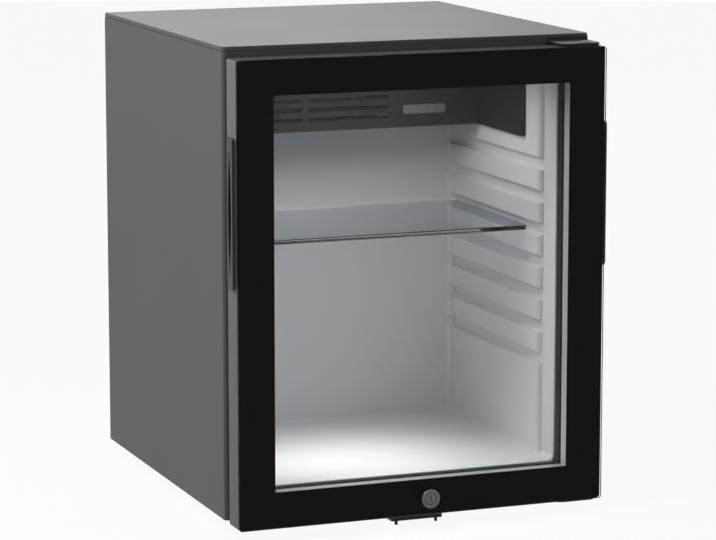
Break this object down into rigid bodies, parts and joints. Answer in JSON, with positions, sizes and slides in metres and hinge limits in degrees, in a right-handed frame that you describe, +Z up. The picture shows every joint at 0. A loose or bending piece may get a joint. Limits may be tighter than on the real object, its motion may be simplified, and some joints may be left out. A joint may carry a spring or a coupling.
{
  "type": "minibar fridge",
  "caption": "Free-standing minibar fridge with a hinged double-glazed door, edge finger grips, a door lock, a sliding glass shelf and a rear absorption cooling unit.",
  "frame": {"origin": "on the floor under the middle of the overall width and depth", "axes": "+Z up, the door faces -Y, +X is the hinge side, on the right of someone facing the door"},
  "size_m": [0.408, 0.4502, 0.499],
  "materials": {
    "case_paint": "satin dark-grey powder coat",
    "galvanised": "zinc-plated sheet steel",
    "liner_plastic": "pale grey thermoformed sheet",
    "foam": "rigid insulating foam",
    "dark_plastic": "dark grey moulded plastic",
    "white_plastic": "white moulded plastic",
    "lamp_lens": "frosted clear lens",
    "circuit_board": "green circuit board",
    "aluminium": "bare aluminium",
    "black_paint": "black paint on steel",
    "rubber": "black soft rubber",
    "glass": "clear glass",
    "black_print": "black ceramic print seen through glass",
    "frame_plastic": "satin dark-grey moulded plastic",
    "chrome": "bright plated metal"
  },
  "bodies": {
    "cabinet": {"side_panel_left": "case_paint", "side_panel_right": "case_paint", "top_cap": "case_paint", "front_frame": "case_paint", "base_plate": "galvanised", "rear_bulkhead": "galvanised", "boiler_jacket": "galvanised", "boiler_clamp": "galvanised", "vessel_cradle": "galvanised", "inner_liner": "liner_plastic", "foam_insulation": "foam", "evaporator_cover": "dark_plastic", "terminal_box": "dark_plastic", "mains_inlet": "dark_plastic", "drip_tray": "white_plastic", "thermostat_body": "white_plastic", "lamp_lens": "lamp_lens", "lamp_board": "circuit_board", "evaporator_tube": "aluminium", "evaporator_fins": "aluminium", "condenser_fins": "aluminium", "top_hinge_bracket": "black_paint", "bottom_hinge_bracket": "black_paint", "lock_catch": "black_paint", "boiler_tube": "black_paint", "condenser_tube": "black_paint", "absorber_coil": "black_paint", "absorber_vessel": "black_paint", "return_pipe": "black_paint", "foot_front_left": "rubber", "foot_front_right": "rubber", "foot_rear_left": "rubber", "foot_rear_right": "rubber", "tube_grommet_left": "rubber", "tube_grommet_right": "rubber", "heater_cable": "rubber", "top_hinge_pin": "chrome", "bottom_hinge_pin": "chrome", "top_hinge_screw_left": "chrome", "top_hinge_screw_right": "chrome", "bottom_hinge_screw_left": "chrome", "bottom_hinge_screw_right": "chrome", "catch_screw_left": "chrome", "catch_screw_right": "chrome"},
    "door": {"door_frame": "frame_plastic", "front_glass": "glass", "glass_border_print": "black_print", "glass_spacer": "aluminium", "inner_glass": "glass", "glazing_bead": "dark_plastic", "door_gasket": "rubber", "grip_left": "dark_plastic", "grip_right": "dark_plastic", "lock_housing": "chrome", "top_hinge_bush": "white_plastic", "bottom_hinge_bush": "white_plastic"},
    "lock": {"lock_cylinder": "chrome", "lock_cam": "galvanised"},
    "shelf": {"shelf_glass": "glass"},
    "knob": {"thermostat_knob": "dark_plastic"}
  },
  "joints": [
    {"name": "door_hinge", "type": "hinge", "parent": "cabinet", "child": "door", "pos_m": [0.184, -0.2059, 0.2565], "axis": [0, 0, 1], "range_deg": [0, 120]},
    {"name": "lock_turn", "type": "hinge", "parent": "door", "child": "lock", "pos_m": [0.007, -0.2089, 0.0315], "axis": [0, -1, 0], "range_deg": [0, 90]},
    {"name": "shelf_slide", "type": "slide", "parent": "cabinet", "child": "shelf", "axis": [0, -1, 0], "range_m": [0, 0.078]},
    {"name": "thermostat_turn", "type": "hinge", "parent": "cabinet", "child": "knob", "pos_m": [0.0905, -0.0039, 0.4385], "axis": [0, -1, 0], "range_deg": [0, 270]}
  ]
}
